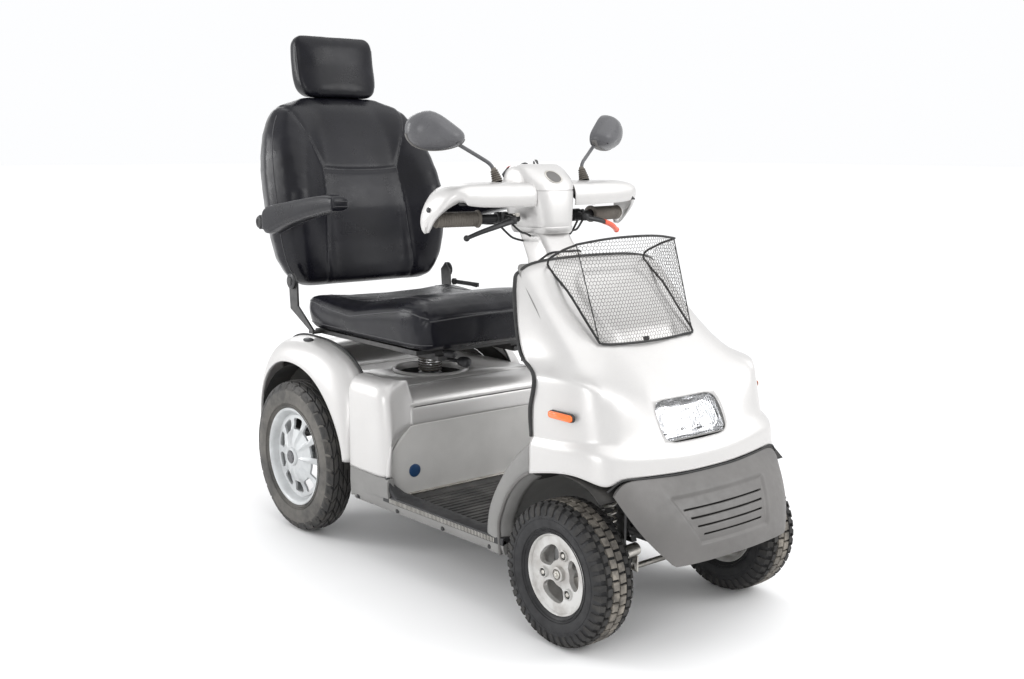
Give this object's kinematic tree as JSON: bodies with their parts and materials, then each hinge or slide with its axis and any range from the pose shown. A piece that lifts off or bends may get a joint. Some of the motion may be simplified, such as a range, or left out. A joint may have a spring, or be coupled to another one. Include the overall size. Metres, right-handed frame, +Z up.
{
  "type": "mobility scooter",
  "caption": "Mobility scooter for one seated rider: raked steering column, swivel captain's chair, foot deck, sprung axles, treaded tyres and a mesh basket.",
  "frame": {"origin": "on the floor, at the centre of the bounding box of the whole scooter", "axes": "+Z up, forward is -Y, +X is the rider's left"},
  "size_m": [0.7, 1.634, 1.374],
  "materials": {
    "silver_paint": "gloss metallic silver paint on moulded covers",
    "grey_plastic": "fine textured mid grey plastic",
    "black_plastic": "satin black plastic",
    "rubber_mat": "ribbed rubber",
    "tyre_rubber": "treaded tyre rubber",
    "wheel_alloy": "satin painted alloy",
    "frame_steel": "black powder coat",
    "bright_steel": "zinc plated steel",
    "seat_vinyl": "black glossy vinyl",
    "grip_rubber": "taupe rubber with small dimples",
    "clear_lens": "clear polycarbonate",
    "amber_lens": "amber lens",
    "red_lens": "red lens",
    "orange_sleeve": "orange-red vinyl sleeve",
    "wire_mesh": "black coated wire mesh",
    "mirror_glass": "silvered glass"
  },
  "bodies": {
    "chassis": {"main_frame": "frame_steel", "floor_deck": "grey_plastic", "foot_mat": "rubber_mat", "side_sills": "grey_plastic", "seat_base": "grey_plastic", "seat_base_top": "silver_paint", "rear_fenders": "silver_paint", "rear_panel": "grey_plastic", "tail_lamps": "red_lens", "front_cowl": "silver_paint", "leg_shroud": "grey_plastic", "front_fenders": "silver_paint", "headlamp_lens": "clear_lens", "headlamp_housing": "bright_steel", "front_bumper": "grey_plastic", "side_indicators": "amber_lens", "front_basket": "wire_mesh", "batteries": "black_plastic"},
    "steering_stem": {"steering_stem": "frame_steel"},
    "tiller": {"tiller_column": "silver_paint", "console": "silver_paint", "hand_guards": "silver_paint", "grips": "grip_rubber"},
    "tie_rod": {"tie_rod": "bright_steel"},
    "front_arm_R": {"front_arm_R": "frame_steel", "front_spring_R": "bright_steel"},
    "front_arm_L": {"front_arm_L": "frame_steel", "front_spring_L": "bright_steel"},
    "knuckle_R": {"knuckle_R": "bright_steel"},
    "knuckle_L": {"knuckle_L": "bright_steel"},
    "front_wheel_R": {"front_tyre_R": "tyre_rubber", "front_rim_R": "wheel_alloy"},
    "front_wheel_L": {"front_tyre_L": "tyre_rubber", "front_rim_L": "wheel_alloy"},
    "rear_axle": {"rear_axle": "frame_steel", "rear_springs": "bright_steel"},
    "rear_wheel_R": {"rear_tyre_R": "tyre_rubber", "rear_rim_R": "wheel_alloy"},
    "rear_wheel_L": {"rear_tyre_L": "tyre_rubber", "rear_rim_L": "wheel_alloy"},
    "freewheel_lever": {"freewheel_lever": "orange_sleeve"},
    "brake_lever_R": {"brake_lever_R": "black_plastic"},
    "brake_lever_L": {"brake_lever_L": "black_plastic"},
    "mirror_R": {"mirror_R": "black_plastic"},
    "mirror_L": {"mirror_L": "black_plastic"},
    "wigwag_lever": {"wigwag_lever": "black_plastic"},
    "ignition_key": {"ignition_key": "bright_steel"},
    "speed_dial": {"speed_dial": "black_plastic"},
    "horn_button": {"horn_button": "red_lens"},
    "seat_post": {"seat_post": "bright_steel"},
    "swivel_base": {"swivel_base": "frame_steel"},
    "swivel_lever": {"swivel_lever": "black_plastic"},
    "seat_frame": {"seat_frame": "frame_steel", "seat_cushion": "seat_vinyl"},
    "slide_lever": {"slide_lever": "black_plastic"},
    "backrest": {"backrest": "seat_vinyl"},
    "recline_lever": {"recline_lever": "black_plastic"},
    "headrest": {"headrest": "seat_vinyl"},
    "armrest_R": {"armrest_R": "seat_vinyl"},
    "armrest_L": {"armrest_L": "seat_vinyl"}
  },
  "joints": [
    {"name": "steering_turn", "type": "hinge", "parent": "chassis", "child": "steering_stem", "pos_m": [0, -0.435, 0.43], "axis": [0, 0.5145, 0.8575], "range_deg": [-30, 30]},
    {"name": "tiller_tilt", "type": "hinge", "parent": "steering_stem", "child": "tiller", "pos_m": [0, -0.435, 0.43], "axis": [-1, 0, 0], "range_deg": [-5, 9]},
    {"name": "tie_rod_slide", "type": "slide", "parent": "chassis", "child": "tie_rod", "axis": [1, 0, 0], "range_m": [-0.045, 0.045]},
    {"name": "front_suspension_R", "type": "hinge", "parent": "chassis", "child": "front_arm_R", "pos_m": [-0.097, -0.4, 0.15], "axis": [-1, 0, 0], "range_deg": [-3, 5], "stiffness_Nm_per_rad": 900, "springref_deg": -3.15, "deforming": ["front_spring_R"]},
    {"name": "knuckle_turn_R", "type": "hinge", "parent": "front_arm_R", "child": "knuckle_R", "pos_m": [-0.18, -0.577, 0.158], "axis": [0, 0, 1], "range_deg": [-32, 32]},
    {"name": "front_wheel_spin_R", "type": "hinge", "parent": "knuckle_R", "child": "front_wheel_R", "pos_m": [-0.266, -0.577, 0.158], "axis": [1, 0, 0], "continuous": true},
    {"name": "front_suspension_L", "type": "hinge", "parent": "chassis", "child": "front_arm_L", "pos_m": [0.097, -0.4, 0.15], "axis": [-1, 0, 0], "range_deg": [-3, 5], "stiffness_Nm_per_rad": 900, "springref_deg": -3.15, "deforming": ["front_spring_L"]},
    {"name": "knuckle_turn_L", "type": "hinge", "parent": "front_arm_L", "child": "knuckle_L", "pos_m": [0.18, -0.577, 0.158], "axis": [0, 0, 1], "range_deg": [-32, 32]},
    {"name": "front_wheel_spin_L", "type": "hinge", "parent": "knuckle_L", "child": "front_wheel_L", "pos_m": [0.266, -0.577, 0.158], "axis": [1, 0, 0], "continuous": true},
    {"name": "rear_suspension", "type": "hinge", "parent": "chassis", "child": "rear_axle", "pos_m": [0, 0.262, 0.144], "axis": [1, 0, 0], "range_deg": [-4, 4], "stiffness_Nm_per_rad": 7000, "springref_deg": -1.15, "deforming": ["rear_springs"]},
    {"name": "rear_wheel_spin_R", "type": "hinge", "parent": "rear_axle", "child": "rear_wheel_R", "pos_m": [-0.309, 0.4625, 0.2085], "axis": [1, 0, 0], "continuous": true},
    {"name": "rear_wheel_spin_L", "type": "hinge", "parent": "rear_axle", "child": "rear_wheel_L", "pos_m": [0.309, 0.4625, 0.2085], "axis": [1, 0, 0], "continuous": true},
    {"name": "freewheel_turn", "type": "hinge", "parent": "rear_axle", "child": "freewheel_lever", "pos_m": [0.03, 0.5545, 0.2085], "axis": [-1, 0, 0], "range_deg": [0, 35]},
    {"name": "brake_lever_pull_R", "type": "hinge", "parent": "tiller", "child": "brake_lever_R", "pos_m": [-0.116, -0.206, 0.88], "axis": [0, 0, -1], "range_deg": [0, 14], "stiffness_Nm_per_rad": 2, "springref_deg": -11.46},
    {"name": "brake_lever_pull_L", "type": "hinge", "parent": "tiller", "child": "brake_lever_L", "pos_m": [0.116, -0.206, 0.88], "axis": [0, 0, 1], "range_deg": [0, 14], "stiffness_Nm_per_rad": 2, "springref_deg": -11.46},
    {"name": "mirror_turn_R", "type": "hinge", "parent": "tiller", "child": "mirror_R", "pos_m": [-0.139, -0.179, 0.975], "axis": [0, 0, 1], "range_deg": [-25, 25]},
    {"name": "mirror_turn_L", "type": "hinge", "parent": "tiller", "child": "mirror_L", "pos_m": [0.139, -0.179, 0.975], "axis": [0, 0, 1], "range_deg": [-25, 25]},
    {"name": "wigwag_rock", "type": "hinge", "parent": "tiller", "child": "wigwag_lever", "pos_m": [0, -0.126, 0.876], "axis": [1, 0, 0], "range_deg": [-15, 15], "stiffness_Nm_per_rad": 0.6},
    {"name": "key_turn", "type": "hinge", "parent": "tiller", "child": "ignition_key", "pos_m": [0.046, -0.114, 0.994], "axis": [0, 0.6141, 0.7892], "range_deg": [-90, 0]},
    {"name": "speed_dial_turn", "type": "hinge", "parent": "tiller", "child": "speed_dial", "pos_m": [0, -0.114, 0.994], "axis": [0, 0.6141, 0.7892], "range_deg": [-135, 135]},
    {"name": "horn_press", "type": "slide", "parent": "tiller", "child": "horn_button", "axis": [0, -0.6141, -0.7892], "range_m": [0, 0.002], "stiffness_N_per_m": 400, "springref_m": -0.002},
    {"name": "seat_lift", "type": "slide", "parent": "chassis", "child": "seat_post", "axis": [0, 0, 1], "range_m": [0, 0.045]},
    {"name": "seat_swivel", "type": "hinge", "parent": "seat_post", "child": "swivel_base", "pos_m": [0, 0.292, 0.5], "axis": [0, 0, 1], "range_deg": [-90, 90]},
    {"name": "swivel_lever_turn", "type": "hinge", "parent": "swivel_base", "child": "swivel_lever", "pos_m": [-0.084, 0.24, 0.5], "axis": [0, 0, 1], "range_deg": [0, 12], "stiffness_Nm_per_rad": 4, "springref_deg": -14.32},
    {"name": "seat_slide", "type": "slide", "parent": "swivel_base", "child": "seat_frame", "axis": [0, 1, 0], "range_m": [-0.06, 0.06]},
    {"name": "slide_lever_lift", "type": "hinge", "parent": "seat_frame", "child": "slide_lever", "pos_m": [-0.15, 0.021, 0.541], "axis": [-1, 0, 0], "range_deg": [0, 8], "stiffness_Nm_per_rad": 2, "springref_deg": -11.46},
    {"name": "backrest_recline", "type": "hinge", "parent": "seat_frame", "child": "backrest", "pos_m": [0, 0.574, 0.678], "axis": [1, 0, 0], "range_deg": [-12, 45]},
    {"name": "recline_lever_lift", "type": "hinge", "parent": "seat_frame", "child": "recline_lever", "pos_m": [0.287, 0.56, 0.64], "axis": [-1, 0, 0], "range_deg": [0, 20], "stiffness_Nm_per_rad": 2, "springref_deg": -17.19},
    {"name": "headrest_slide", "type": "slide", "parent": "backrest", "child": "headrest", "axis": [0, 0.3417, 0.9398], "range_m": [0, 0.045]},
    {"name": "armrest_lift_R", "type": "hinge", "parent": "backrest", "child": "armrest_R", "pos_m": [-0.318, 0.64, 0.842], "axis": [-1, 0, 0], "range_deg": [0, 95]},
    {"name": "armrest_lift_L", "type": "hinge", "parent": "backrest", "child": "armrest_L", "pos_m": [0.318, 0.64, 0.842], "axis": [-1, 0, 0], "range_deg": [0, 95]}
  ],
  "couplings": [
    {"joint": "knuckle_turn_R", "follows": "steering_turn", "ratio": 1},
    {"joint": "knuckle_turn_L", "follows": "steering_turn", "ratio": 1},
    {"joint": "tie_rod_slide", "follows": "steering_turn", "m_per_rad": -0.07}
  ]
}
